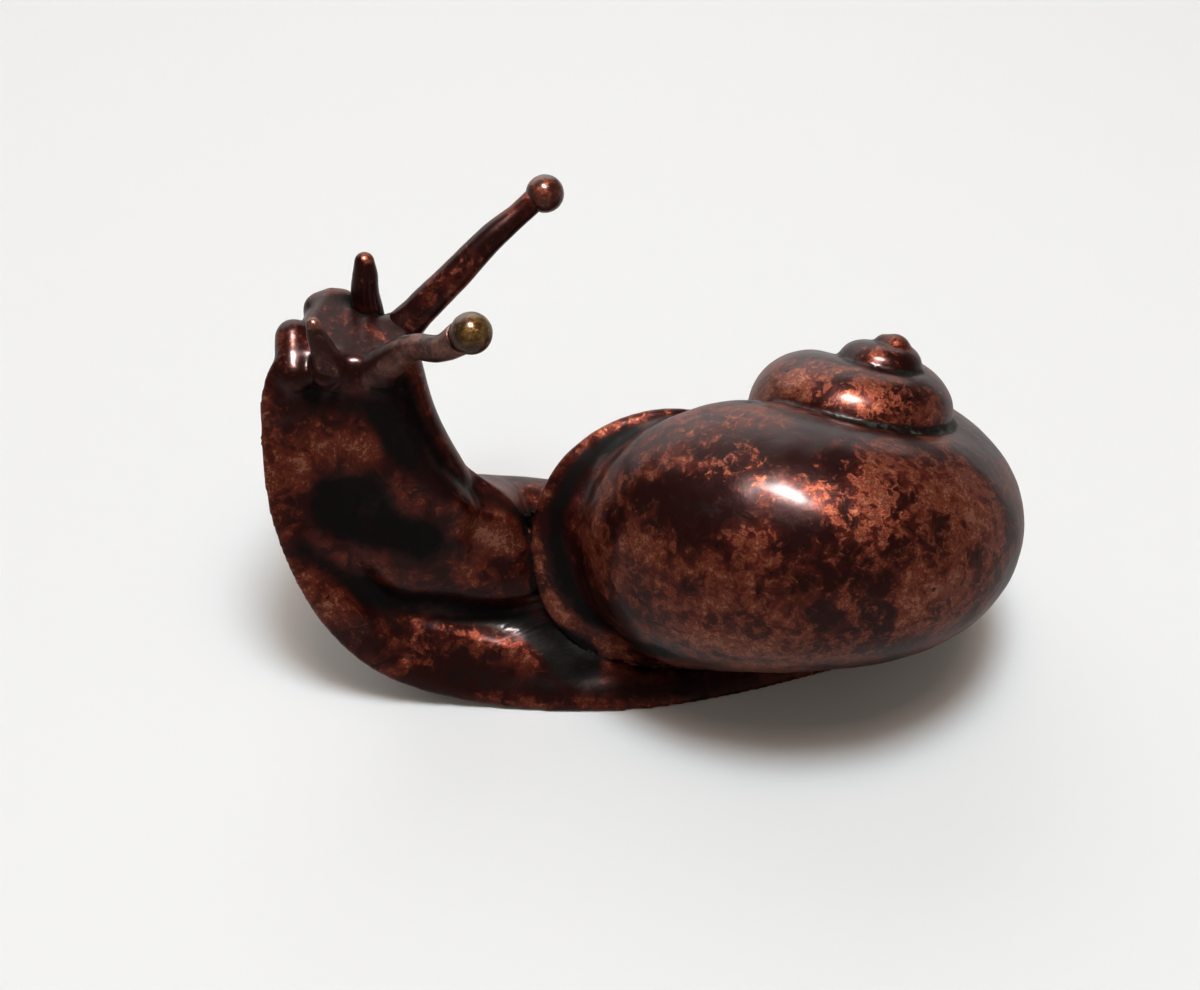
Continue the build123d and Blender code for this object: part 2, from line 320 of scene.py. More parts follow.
def evaluated_mesh(thing):
    bpy.context.view_layer.update()
    shown = thing.evaluated_get(bpy.context.evaluated_depsgraph_get())
    return bpy.data.meshes.new_from_object(shown)


def bake(thing):
    """Turns the evaluated object into a plain mesh and drops its modifiers."""
    mesh, old = evaluated_mesh(thing), thing.data
    thing.modifiers.clear()
    thing.data = mesh
    bpy.data.meshes.remove(old)
    mesh.name = thing.name
    mesh.shade_smooth()


def recast(thing, voxel, passes, kept=1.0):
    """Joins what overlaps into one skin and softens it, as wax and casting do."""
    remesh = thing.modifiers.new("Skin", "REMESH")
    remesh.mode = "VOXEL"
    remesh.voxel_size = voxel
    remesh.use_smooth_shade = True
    soften = thing.modifiers.new("Soften", "SMOOTH")
    soften.factor = SOFTEN_SHARE
    soften.iterations = passes
    if kept < 1:
        thin = thing.modifiers.new("Thin", "DECIMATE")
        thin.ratio = kept
    bake(thing)


def coordinates(mesh):
    places = np.zeros(len(mesh.vertices) * 3)
    mesh.vertices.foreach_get("co", places)
    return places.reshape(-1, 3)


def vertex_normals(mesh):
    normals = np.zeros(len(mesh.vertices) * 3)
    mesh.vertex_normals.foreach_get("vector", normals)
    return normals.reshape(-1, 3)


def move_to(thing, co):
    """Moves a mesh's vertices to new places."""
    thing.data.vertices.foreach_set("co", co.ravel())
    thing.data.update()


def finish_in(thing, material):
    thing.data.materials.clear()
    thing.data.materials.append(material)


def finish_piece(thing, material, slot, *nodes):
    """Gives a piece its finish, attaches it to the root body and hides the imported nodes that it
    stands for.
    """
    finish_in(thing, material)
    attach(thing, "root")
    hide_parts(*nodes)


def tree_of(thing):
    mesh = thing.data
    return BVHTree.FromPolygons([v.co for v in mesh.vertices], [p.vertices for p in mesh.polygons])


# Shell


def shell_frame(shell):
    """Pole, axis, and the directions to the front and the left across the axis."""
    axis = Vector((
        math.sin(shell.lean) * math.cos(shell.heading),
        math.sin(shell.lean) * math.sin(shell.heading),
        math.cos(shell.lean),
    ))
    ahead = Vector((-1, 0, 0))
    left = (ahead - axis * ahead.dot(axis)).normalized()
    return Vector(shell.pole), axis, axis.cross(left), left


def spiral_shell_tree(material):
    """A tube wound about an axis and growing as it goes, with a wall, a lip and a rounded apex."""
    tree = bpy.data.node_groups.new("spiral_shell", "GeometryNodeTree")
    tree_sockets(tree, [
        ("Whorl Radius", "Float", 0.0154), ("Whorl Orbit", "Float", 0.0118),
        ("Spire Height", "Float", 0.0249), ("Growth", "Float", 2.36),
        ("Mouth Angle", "Float", 84.0), ("Turned", "Float", 1110.0),
        ("Crowding", "Float", 0.62), ("Wall", "Float", 0.0014), ("Inner Turn", "Float", 110.0),
        ("Rim Turn", "Float", 2.0), ("Columella", "Float", 0.0007), ("Top Share", "Float", 0.965),
        ("Base Share", "Float", 1.02), ("Pole", "Vector", None), ("Axis", "Vector", None),
        ("Front", "Vector", None), ("Left", "Vector", None), ("Apex Radius", "Float", 0.00175),
        ("Apex Depth", "Float", 0.0022), ("Outer Rows", "Int", 460), ("Rim Rows", "Int", 6),
        ("Inner Rows", "Int", 40), ("Sides", "Int", 96),
        ("Waves", "Float", 150.0), ("Unevenness", "Float", 0.0001),
    ])
    tree_sockets(tree, [("Geometry", "Geometry", None)], "OUTPUT")
    g = Graph(tree)
    given = g.given()
    m, v = g.math, g.vector

    # Rows run up the outside to the lip, round its rim and back down the inside
    rows = given["Outer Rows"] + given["Rim Rows"] + given["Inner Rows"]
    ring = given["Sides"] + 1
    grid = g.add("GeometryNodeMeshGrid", Vertices_X=rows + 1, Vertices_Y=ring)
    index = g.add("GeometryNodeInputIndex")
    row = m("FLOOR", (index + 0.25) / ring)  # the quarter keeps rounding off whole rows
    side = index - row * ring
    out_part = m("DIVIDE", row, given["Outer Rows"], clamp=True)
    past_lip = row - given["Outer Rows"]
    rim_part = m("DIVIDE", past_lip, given["Rim Rows"], clamp=True)
    in_part = m("DIVIDE", past_lip - given["Rim Rows"], given["Inner Rows"], clamp=True)
    rim_angle = rim_part * math.pi
    inset = given["Wall"] * ((1 - m("COSINE", rim_angle)) * 0.5)
    angle = given["Turned"] * (out_part ** given["Crowding"] - 1)
    angle = angle + m("SINE", rim_angle) * given["Rim Turn"]
    angle = angle - in_part * given["Inner Turn"]

    # Size and place of the section at this angle
    scale = given["Growth"] ** (angle / TURN)
    near_lip = m("DIVIDE", angle + MOUTH_START, MOUTH_START, clamp=True)
    size, shift, drop = (
        g.curve(near_lip, [(1 - share[0] / MOUTH_START, share[column]) for share in MOUTH_SHARES])
        for column in (1, 2, 3)
    )
    radius = given["Whorl Radius"] * scale
    orbit = m("MULTIPLY_ADD", shift, radius, given["Whorl Orbit"] * scale)
    depth = m("MULTIPLY_ADD", drop, radius, given["Spire Height"] * scale)
    turn = m("RADIANS", given["Mouth Angle"] + angle)
    ahead = v("SCALE", given["Front"], scale=m("COSINE", turn))
    outward = v("ADD", ahead, v("SCALE", given["Left"], scale=m("SINE", turn)))

    # The section is an ellipse, flat where it meets the columella, and closes at both ends
    ends = m("MINIMUM", row, 1) * m("MINIMUM", rows - row, 1)
    t = (side / given["Sides"]) * math.tau
    full = radius * size
    across = (full - inset) * ends
    upper = full * given["Top Share"] - inset
    lower = full * given["Base Share"] - inset
    is_upper = m("GREATER_THAN", m("SINE", t), 0)
    along = (is_upper * upper + (1 - is_upper) * lower) * ends
    core = m("MULTIPLY_ADD", given["Columella"], scale, inset)
    reach = m("MAXIMUM", m("MULTIPLY_ADD", across, m("COSINE", t), orbit), core)
    rise = along * m("SINE", t) - depth
    level = v("ADD", given["Pole"], v("SCALE", outward, scale=reach))
    place = v("ADD", level, v("SCALE", given["Axis"], scale=rise))
    wound = g.add("GeometryNodeSetPosition", Geometry=grid, Position=place)

    # Apex knob
    knob = g.add(
        "GeometryNodeMeshIcoSphere", Radius=given["Apex Radius"], Subdivisions=BALL_SUBDIVISIONS
    )
    tip = v("SUBTRACT", given["Pole"], v("SCALE", given["Axis"], scale=given["Apex Depth"]))
    knob = g.add("GeometryNodeTransform", Geometry=knob, Translation=tip)
    joined = g.add("GeometryNodeJoinGeometry", Geometry=wound)
    g.put(joined.socket.node.inputs[0], knob)
    merged = g.add("GeometryNodeMergeByDistance", Geometry=joined, Distance=SHELL_MERGE_DISTANCE)

    # Hand-worked unevenness, as far inwards as outwards
    spot = g.add("GeometryNodeInputPosition")
    waves = g.add("ShaderNodeTexNoise", Vector=spot, Scale=given["Waves"], Detail=2.0)
    finish_tree(g, merged, (waves - 0.5) * given["Unevenness"] * 2, material)
    return tree


class SNAIL_OT_shell(bpy.types.Operator):
    """Wind the shell from apex to lip"""

    bl_idname = "snail.shell"
    bl_label = "Shell"

    def execute(self, context):
        shell = context.scene.snail_shell
        pole, axis, front, left = shell_frame(shell)
        thing = empty_object("shell")
        wind = thing.modifiers.new("Wind", "NODES")
        wind.node_group = spiral_shell_tree(shell_material())
        set_modifier(wind, {
            "Whorl Radius": shell.whorl_radius, "Whorl Orbit": shell.whorl_orbit,
            "Spire Height": shell.spire_height, "Growth": shell.growth,
            "Mouth Angle": math.degrees(shell.mouth_angle), "Turned": math.degrees(shell.turned),
            "Wall": shell.wall, "Columella": shell.columella,
            "Pole": pole, "Axis": axis, "Front": front, "Left": left,
            "Apex Radius": shell.apex_radius, "Apex Depth": shell.apex_depth,
            "Unevenness": shell.unevenness,
        })
        recast(thing, shell.voxel, shell.soften_passes, shell.kept)
        finish_piece(thing, shell_material(), "shell_bronze", "body_whorl", "spire")
        return {"FINISHED"}


# Foot, neck and head


def node_copy(name, nodes):
    """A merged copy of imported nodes, as the blank that the casting is worked from."""
    thing = empty_object(name)
    work = bmesh.new()
    for node in nodes:
        work.from_mesh(frame["nodes"][node].data)
    bmesh.ops.remove_doubles(work, verts=work.verts, dist=MERGE_DISTANCE)
    work.to_mesh(thing.data)
    work.free()
    return thing


def seen_point(tree, px, py):
    """Where the line of sight through a place in the picture meets the surface, and its normal."""
    start, way = camera_ray(px, py)
    hit, normal, _, _ = tree.ray_cast(start, way)
    return hit, normal


def line_distance(co, points):
    """Distance of every vertex to a line of points, and how far along it each is, from 0 to 1."""
    nearest = np.linalg.norm(co - points[0], axis=1)
    along = np.zeros(len(co))
    lengths = [np.linalg.norm(b - a) for a, b in zip(points, points[1:])]
    gone = 0.0
    for a, b, length in zip(points, points[1:], lengths):
        way = b - a
        part = np.clip((co - a) @ way / max(way @ way, TINY * TINY), 0, 1)
        away = np.linalg.norm(co - (a + part[:, None] * way), axis=1)
        closer = away < nearest
        nearest[closer] = away[closer]
        along[closer] = ((gone + part * length) / sum(lengths))[closer]
        gone += length
    return nearest, along


def press_folds(thing, folds):
    """Works folds and creases into the surface along lines seen in the picture."""
    tree = tree_of(thing)
    co = coordinates(thing.data)
    normals = vertex_normals(thing.data)
    push = np.zeros(len(co))
    for places, depth, width in folds:
        hits = [seen_point(tree, *place) for place in places]
        hits = [(np.array(h), np.array(n)) for h, n in hits if h is not None]
        if len(hits) < 2:
            raise RuntimeError(f"the fold at {places[0]} misses the casting")
        facing = sum(n for _, n in hits)
        facing /= np.linalg.norm(facing)
        away, along = line_distance(co, [h for h, _ in hits])
        away /= width * MM
        same_side = np.clip((normals @ facing) * 2, 0, 1)
        fading = np.clip(np.minimum(along, 1 - along) / FOLD_FADE + FOLD_END, 0, 1)
        push += depth * MM * np.exp(-away * away) * same_side * fading
    co += normals * push[:, None]
    move_to(thing, co)


def draw_on_to(thing, shell, reach, draw):
    """Draws what lies close to the shell a little way into it, so that the two meet in one line."""
    tree = tree_of(shell)
    co = coordinates(thing.data)
    for number, spot in enumerate(co):
        near, normal, _, _ = tree.find_nearest(Vector(spot), reach)
        if near is None:
            continue
        outside = (Vector(spot) - near).dot(normal)
        if outside > -draw:
            part = 1 - max(0.0, outside) / reach
            co[number] -= np.array(normal) * draw * part * part * (3 - 2 * part)
    co[:, 2] = np.maximum(co[:, 2], 0)
    move_to(thing, co)


def share_at(degrees_before, column):
    """A column of the mouth's table at an angle before the lip."""
    rows = sorted(MOUTH_SHARES)
    return np.interp(degrees_before, [row[0] for row in rows], [row[column] for row in rows])


def smooth_step(values, low, high):
    part = np.clip((values - low) / (high - low), 0, 1)
    return part * part * (3 - 2 * part)


def tuck_in_mouth(thing, shell, casting):
    """Draws the casting in where it would cover the lip, so that it comes out of the mouth."""
    pole, axis, front, left = (np.array(way) for way in shell_frame(shell))
    co = coordinates(thing.data)
    from_pole = co - pole
    height = from_pole @ axis
    flat = from_pole - height[:, None] * axis
    turn = np.degrees(np.arctan2(flat @ left, flat @ front)) - math.degrees(shell.mouth_angle)
    turn = (turn + TURN / 2) % TURN - TURN / 2
    before = np.clip(-turn, 0, MOUTH_START)
    scale = shell.growth ** (-before / TURN)
    radius = shell.whorl_radius * scale
    orbit = shell.whorl_orbit * scale + share_at(before, 2) * radius
    depth = shell.spire_height * scale + share_at(before, 3) * radius
    reach = np.linalg.norm(flat, axis=1)
    outward = flat / reach[:, None]
    across, along = reach - orbit, height + depth
    length = np.maximum(np.hypot(across, along), TINY)
    inside = share_at(before, 1) * radius - shell.wall - casting.tuck_gap
    over = length - inside
    part = smooth_step(turn, -casting.tuck_back, -casting.tuck_back / 2)
    part *= 1 - smooth_step(turn, 0, casting.tuck_front)
    part *= (over > 0) * (1 - smooth_step(over, casting.tuck_depth / 2, casting.tuck_depth))
    part *= smooth_step(co[:, 2], casting.tuck_low, casting.tuck_low * 2)
    away = (across / length)[:, None] * outward + (along / length)[:, None] * axis
    co -= away * (over * part)[:, None]
    move_to(thing, co)


class SNAIL_OT_casting(bpy.types.Operator):
    """Work up the foot, neck and head with their folds"""

    bl_idname = "snail.casting"
    bl_label = "Foot, Neck and Head"

    def execute(self, context):
        casting = context.scene.snail_casting
        thing = node_copy("foot_neck_head", ["body", "sole_plate"])
        recast(thing, casting.voxel, casting.soften_passes, casting.kept)
        tuck_in_mouth(thing, context.scene.snail_shell, casting)
        draw_on_to(thing, bpy.data.objects["shell"], casting.seat_reach, casting.seat_draw)
        press_folds(thing, FOLDS)
        finish_piece(thing, body_material(), "body_bronze", "body", "sole_plate")
        return {"FINISHED"}


# Stalks, eyes and feelers


def in_head(shares):
    head = bpy.context.scene.snail_head
    return Vector(head.place) + Vector(shares) * head.radius


def stem_tree(material):
    """A round stem along a curve whose radius is its thickness, closed at both ends."""
    tree = bpy.data.node_groups.new("stem", "GeometryNodeTree")
    tree_sockets(tree, [
        ("Geometry", "Geometry", None), ("Spacing", "Float", 0.0002), ("Sides", "Int", 40),
        ("Waves", "Float", 420.0), ("Unevenness", "Float", 0.00012), ("Seed", "Float", 0.0),
    ])
    tree_sockets(tree, [("Geometry", "Geometry", None)], "OUTPUT")
    g = Graph(tree)
    given = g.given()
    line = g.add(
        "GeometryNodeResampleCurve", {"mode": "LENGTH"},
        Curve=given["Geometry"], Length=given["Spacing"],
    )
    ring = g.add("GeometryNodeCurvePrimitiveCircle", Resolution=given["Sides"], Radius=1.0)
    tube = g.add(
        "GeometryNodeCurveToMesh",
        Curve=line, Profile_Curve=ring, Scale=g.add("GeometryNodeInputRadius"), Fill_Caps=True,
    )
    waves = g.add(
        "ShaderNodeTexNoise", {"noise_dimensions": "4D"}, Vector=g.add("GeometryNodeInputPosition"),
        W=given["Seed"], Scale=given["Waves"], Detail=1.5,
    )
    finish_tree(g, tube, (waves - 0.5) * given["Unevenness"], material)
    return tree


def stem_curve(name, rows, diameter):
    """A curve through the rows of a table of shares, its radius the stem's."""
    line = bpy.data.curves.new(name, "CURVE")
    line.dimensions = "3D"
    line.resolution_u = CURVE_STEPS
    spline = line.splines.new("BEZIER")
    spline.bezier_points.add(len(rows) - 1)
    for point, (shares, thickness) in zip(spline.bezier_points, rows):
        point.co = in_head(shares)
        point.radius = thickness * diameter / 2
        point.handle_left_type = point.handle_right_type = "AUTO"
    return placed(name, line)


def add_ball(thing, centre, radius):
    """Joins a ball to a mesh object."""
    work = bmesh.new()
    work.from_mesh(thing.data)
    made = bmesh.ops.create_icosphere(work, subdivisions=BALL_SUBDIVISIONS, radius=radius)
    bmesh.ops.translate(work, verts=made["verts"], vec=centre)
    work.to_mesh(thing.data)
    work.free()


def as_mesh(thing):
    """A curve object's evaluated mesh in an object of the same name."""
    mesh, name = evaluated_mesh(thing), thing.name
    bpy.data.objects.remove(thing)
    return placed(name, mesh)


def build_stem(name, diameter, seed, ends_in_ball, material):
    """A stalk or a feeler that starts from a ball sunk in the head, and may end in one."""
    rows = STEM_SHARES[name]
    thing = stem_curve("bronze_" + name, rows, diameter)
    grow = thing.modifiers.new("Stem", "NODES")
    grow.node_group = bpy.data.node_groups.get("stem") or stem_tree(body_material())
    set_modifier(grow, {"Seed": seed})
    thing = as_mesh(thing)
    for shares, thickness in [rows[0]] + [rows[-1]] * ends_in_ball:
        add_ball(thing, in_head(shares), diameter * thickness / 2)
    head = bpy.context.scene.snail_head
    recast(thing, head.voxel, head.soften_passes)
    finish_piece(thing, material, "dark_bronze", name)


class SNAIL_OT_stalks(bpy.types.Operator):
    """Grow the two eye stalks"""

    bl_idname = "snail.stalks"
    bl_label = "Eye Stalks"

    def execute(self, context):
        head = context.scene.snail_head
        build_stem("left_eye_stalk", head.left_stalk, 1.0, False, stalk_material())
        build_stem("right_eye_stalk", head.right_stalk, 2.0, False, dark_stalk_material())
        return {"FINISHED"}


class SNAIL_OT_feelers(bpy.types.Operator):
    """Grow the two short feelers"""

    bl_idname = "snail.feelers"
    bl_label = "Feelers"

    def execute(self, context):
        head = context.scene.snail_head
        build_stem("left_feeler", head.feeler, 3.0, True, stalk_material())
        build_stem("right_feeler", head.feeler, 4.0, True, dark_stalk_material())
        return {"FINISHED"}


class SNAIL_OT_eyes(bpy.types.Operator):
    """Set the two eyes on their stalks"""

    bl_idname = "snail.eyes"
    bl_label = "Eyes"

    def execute(self, context):
        head = context.scene.snail_head
        for name, diameter, material in (
            ("left_eye", head.left_eye, brass_eye_material()),
            ("right_eye", head.right_eye, copper_eye_material()),
        ):
            thing = empty_object("bead_" + name)
            add_ball(thing, in_head(EYE_SHARES[name]), diameter / 2)
            finish_piece(thing, material, "eye_brass", name)
            thing.data.shade_smooth()
        return {"FINISHED"}


# Wear, grime and painted shade, kept on each piece as attributes

RAY_SEED = 7
RAY_CLEARANCE = 0.00008
NEIGHBOURS = 8
LEAST_FACING = 0.02
LEAST_DISTANCE = 1e-4

# From and over how much bending, as one over a radius in millimetres, edges rub and valleys darken
# with grime and painted shade
EDGE_BEND = (0.45, 0.45)
VALLEY_BEND = (0.04, 0.30)

# Places and lines in the picture where the film is rubbed to copper, some of them painted
# highlights and reflections, or left near black, some of them painted shade in grooves, valleys and
# under the skirt: half width in millimetres and strength
RUBBED_AND_HIGHLIT = [
    ([(645, 420), (600, 431), (562, 457), (546, 478), (537, 510), (535, 545), (545, 585),
     (563, 614)], 0.6, 1.3),
    ([(563, 614), (592, 640), (628, 658)], 0.9, 1.2),
    ([(480, 699), (540, 704), (600, 707), (690, 701)], 0.7, 1.3),
    ([(264, 400), (262, 440), (272, 490), (290, 545)], 0.7, 0.8),
    ([(322, 312), (350, 322), (384, 338)], 0.9, 0.9), ([(283, 330), (277, 360)], 1.3, 0.2),
    ([(272, 440), (300, 462)], 1.8, 0.8), ([(330, 440), (362, 455)], 2.2, 0.9),
    ([(300, 480)], 2.6, 0.4), ([(305, 585), (330, 605), (352, 622)], 1.9, 0.9),
    ([(400, 628), (440, 634), (480, 641), (528, 652)], 1.8, 1.3),
    ([(405, 655), (432, 668)], 1.5, 0.9), ([(392, 512), (430, 505)], 1.5, 0.6),
    ([(462, 526), (494, 540), (528, 550)], 1.7, 1.4), ([(470, 562), (520, 580)], 1.6, 0.6),
    ([(440, 565), (500, 590)], 1.2, 0.4), ([(500, 528), (512, 545)], 1.0, 0.9),
    ([(316, 322)], 0.9, 1.2), ([(364, 256)], 0.9, 0.9), ([(440, 300), (480, 250)], 1.0, 0.4),
    ([(545, 200)], 1.2, 0.5), ([(692, 436), (735, 446)], 1.4, 0.8),
    ([(745, 455), (752, 480)], 1.8, 1.0), ([(690, 460), (730, 470)], 1.0, 0.6),
    ([(612, 488), (650, 470)], 1.2, 0.8), ([(596, 530), (640, 548)], 2.4, 1.1),
    ([(650, 545), (700, 575), (750, 560)], 2.4, 0.7),
    ([(660, 600), (730, 612), (800, 625)], 2.4, 0.7),
    ([(690, 640), (760, 652), (850, 655)], 2.4, 1.2), ([(870, 640), (950, 605)], 2.2, 0.8),
    ([(850, 485), (900, 500), (950, 500)], 4.0, 0.6), ([(960, 480), (985, 520)], 3.0, 0.8),
    ([(870, 540), (930, 560)], 4.0, 0.8), ([(850, 600), (920, 620)], 3.0, 0.7),
    ([(770, 545), (790, 560)], 2.0, 0.4), ([(790, 375), (840, 392)], 2.4, 0.9),
    ([(875, 392), (920, 412)], 2.6, 0.9), ([(878, 352)], 1.3, 0.7),
]
# Near black marks: dark film, and painted shade in grooves, valleys and under the skirt
DARKENED_AND_SHADED = [
    ([(625, 437), (590, 456), (568, 482), (557, 515), (557, 550), (568, 588), (592, 617),
     (628, 641), (665, 652)], 1.7, 2.0),
    ([(640, 428), (690, 408), (740, 400)], 1.8, 0.7),
    ([(406, 385), (416, 420), (436, 455), (462, 482), (495, 500), (532, 520)], 1.2, 1.3),
    ([(385, 388), (396, 420), (404, 450)], 1.9, 1.5),
    ([(366, 408), (392, 440), (420, 470), (446, 490)], 1.5, 1.2),
    ([(318, 398), (340, 404)], 2.0, 1.4),
    ([(335, 505), (352, 520), (385, 530), (425, 538)], 2.5, 2.4), ([(345, 500)], 3.0, 2.0),
    ([(372, 470), (380, 505)], 2.0, 1.5), ([(455, 545), (500, 568), (535, 585)], 1.3, 0.8),
    ([(545, 640), (585, 648)], 1.6, 1.6), ([(298, 548), (330, 570), (365, 592)], 1.3, 1.6),
    ([(375, 594), (430, 600), (480, 608), (530, 626), (572, 652)], 2.2, 2.0),
    ([(392, 620), (403, 645), (394, 662)], 0.8, 1.3), ([(345, 640), (372, 655)], 1.6, 0.8),
    ([(440, 670), (480, 677), (540, 686)], 2.2, 1.3),
    ([(570, 668), (600, 690), (680, 692)], 2.2, 1.2), ([(700, 690), (780, 682)], 2.0, 0.9),
    ([(480, 548), (505, 562)], 1.2, 0.8), ([(420, 560), (445, 572)], 1.6, 0.7),
    ([(350, 345), (385, 352)], 1.4, 1.0), ([(334, 300), (348, 298)], 1.1, 1.1),
    ([(330, 352), (345, 372)], 1.0, 0.8), ([(640, 500), (690, 520), (745, 515)], 3.2, 0.8),
    ([(650, 580), (690, 590)], 3.0, 0.7), ([(795, 520), (812, 560), (822, 605)], 2.2, 0.8),
    ([(780, 440), (830, 455)], 3.0, 0.6), ([(700, 490)], 3.0, 0.5),
    ([(740, 590), (790, 595)], 2.0, 0.5),
    ([(752, 402), (800, 418), (850, 431), (900, 436), (945, 430)], 0.8, 1.0),
    ([(842, 352), (862, 366), (900, 375), (922, 372)], 0.6, 0.8),
    ([(480, 232), (520, 205)], 1.0, 0.6),
]


def sky_share(spots, normals, tree, reach, rays):
    """How open each place is: the share of lines out of it that meet nothing near."""
    rng = np.random.default_rng(RAY_SEED)
    ways = rng.normal(size=(rays, 3))
    ways /= np.linalg.norm(ways, axis=1)[:, None]
    share = np.zeros(len(spots))
    for number, (spot, normal) in enumerate(zip(spots, normals)):
        start = Vector(spot + normal * RAY_CLEARANCE)
        dots = ways @ normal
        met = 0.0
        for way, dot in zip(ways, dots):
            hit = tree.ray_cast(start, Vector(way if dot > 0 else -way), reach)
            if hit[0] is not None:
                met += abs(dot) * (1 - hit[3] / reach)
        share[number] = 1 - met / np.abs(dots).sum()
    return share


def placed_marks(tree, rows):
    """Marks of the picture as lines of points on the figurine."""
    marks = []
    for places, width, strength in rows:
        hits = [seen_point(tree, *place)[0] for place in places]
        hits = [np.array(hit) for hit in hits if hit is not None]
        if hits:
            marks.append((hits, width * MM, strength))
    return marks


def marked(co, marks):
    """How strongly every vertex is marked."""
    total = np.zeros(len(co))
    for hits, width, strength in marks:
        away = line_distance(co, hits)[0] / width
        total += strength * np.exp(-away * away)
    return total


def bending(mesh, co, normals, passes):
    """How convex the surface is at each vertex, as one over a radius in millimetres."""
    ends = np.zeros(len(mesh.edges) * 2, dtype=np.int64)
    mesh.edges.foreach_get("vertices", ends)
    a, b = ends.reshape(-1, 2).T
    count = np.maximum(np.bincount(a, minlength=len(co)) + np.bincount(b, minlength=len(co)), 1)

    def around(values):
        near = np.bincount(a, values[b], len(co)) + np.bincount(b, values[a], len(co))
        return near / count

    middle = np.stack([around(co[:, axis]) for axis in range(3)], 1)
    square = np.sum((co[a] - co[b]) ** 2, axis=1)
    spacing = (np.bincount(a, square, len(co)) + np.bincount(b, square, len(co))) / count
    bend = np.sum((co - middle) * normals, axis=1) * 2 / np.maximum(spacing, TINY) * MM
    for _ in range(passes):
        bend = (bend + around(bend)) / 2
    return bend


def ramped(values, start, over):
    return np.clip((values - start) / over, 0, 1)


class SNAIL_OT_wear(bpy.types.Operator):
    """Work out where each piece is rubbed and painted lighter, and where grime and painted shade
    darken it
    """

    bl_idname = "snail.wear"
    bl_label = "Wear and Grime"

    def execute(self, context):
        patina = context.scene.snail_patina
        things = [
            thing for thing in bpy.data.objects
            if thing.get("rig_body") and thing.type == "MESH" and not thing.get("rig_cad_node")
        ]
        everything = bmesh.new()
        for thing in things:
            everything.from_mesh(thing.data)
        all_tree = BVHTree.FromBMesh(everything)
        everything.free()
        rubbed_and_highlit = placed_marks(all_tree, RUBBED_AND_HIGHLIT)
        darkened_and_shaded = placed_marks(all_tree, DARKENED_AND_SHADED)
        for thing in things:
            mesh = thing.data
            co = coordinates(mesh)
            normals = vertex_normals(mesh)
            step = max(1, len(co) // patina.samples)
            chosen = np.arange(0, len(co), step)
            spots, ways = co[chosen], normals[chosen]
            # How enclosed each place is; enclosed places darken, partly as patina in the hollows
            # and partly as painted shade between pieces and in corners
            share = sky_share(spots, ways, all_tree, patina.grime_and_shade_reach, patina.rays)
            open_share = spread(co, normals, spots, ways, share)
            bend = bending(mesh, co, normals, patina.bend_passes)
            # Marks from the picture: rubbed copper with painted highlights and reflections among
            # it, less the near black with painted shade among it, on top of real edge wear
            rub = marked(co, rubbed_and_highlit) - marked(co, darkened_and_shaded)
            rub += ramped(bend, *EDGE_BEND) * patina.edge_rub
            open_share -= ramped(-bend, *VALLEY_BEND) * patina.valley_grime_and_shade
            for name, values in (("openness", open_share), ("rub", rub)):
                layer = mesh.attributes.new(name, "FLOAT", "POINT")
                layer.data.foreach_set("value", values.astype(np.float32))
        return {"FINISHED"}


def spread(co, normals, spots, spot_normals, values):
    """Carries values from sampled places to every vertex, from the nearest that face its way."""
    if len(spots) == len(co):
        return values
    tree = KDTree(len(spots))
    for number, spot in enumerate(spots):
        tree.insert(spot, number)
    tree.balance()
    result = np.zeros(len(co))
    for number, spot in enumerate(co):
        weights = total = TINY
        for _, other, away in tree.find_n(spot, NEIGHBOURS):
            facing = max(LEAST_FACING, float(spot_normals[other] @ normals[number]))
            weight = facing / (away + LEAST_DISTANCE) ** 2
            total += weight * values[other]
            weights += weight
        result[number] = total / weights
    return result


# Materials


# Colours of the patina's layers, the near black one also serving as painted shade, and how much it
# is rubbed, coated and turned green
PATINA = [
    ("Film", "Color", (0.085, 0.0125, 0.0070, 1)),
    ("Deep Film", "Color", (0.021, 0.0032, 0.0024, 1)),
    ("Copper", "Color", (0.205, 0.050, 0.024, 1)),
    ("Bright Copper", "Color", (0.38, 0.150, 0.092, 1)),
    ("Grime", "Color", (0.0014, 0.0012, 0.0010, 1)),
    ("Verdigris", "Color", (0.12, 0.15, 0.10, 1)),
    ("Rubbing", "Float", 0.0),
    ("Gloss", "Float", 0.30),
    ("Green", "Float", 0.3),
    ("Offset", "Vector", None),
]

PATINA_RESULTS = [("Color", "Color", None)] + [
    (name, "Float", None) for name in ("Roughness", "Height", "Metal", "Coat")
]

# Noises of the patina: scale in one over millimetres, detail, roughness and distortion
BROAD = (0.085, 2.0, 0.5, 0.3)
MIDDLE = (0.34, 5.0, 0.60, 0.8)
FINE = (0.95, 8.0, 0.70, 0.5)
FLAKES = (2.6, 5.0, 0.62, 1.2)
PITS = (1.5, 2.0, 0.5, 0.2)
SCRATCHES = (1.4, 2.0, 0.5, 0.3)
SCRATCH_STRETCH = (0.30, 2.4, 3.0)

# Where each mask starts and where it is full
CLOSED_RANGE = (0.30, 0.90)
CLOUD_RANGE = (0.43, 0.60)
COPPER_RANGE = (0.085, 0.125)
THIN_RANGE = (-0.05, 0.14)
BRIGHT_RANGE = (0.22, 0.32)
TINT_RANGE = (0.40, 0.60)
SCRATCH_RANGE = (0.70, 0.73)
SCRATCHED_RANGE = (0.46, 0.58)
PIT_RANGE = (0.715, 0.745)
GRIME_AND_SHADE_RANGE = (0.20, 0.92)
GREEN_RANGE = (0.50, 0.95)
GREEN_SPOTS = (0.47, 0.60)

# Relief that the patina gives the surface, its depth in metres, and the clear coat over it
RELIEF_STRENGTH = 0.30
RELIEF_DEPTH = 0.0004
COAT_IOR = 1.5
COAT_ROUGHNESS = 0.20
EYE_COAT_ROUGHNESS = 0.15
SPECULAR_LEVEL = 0.08


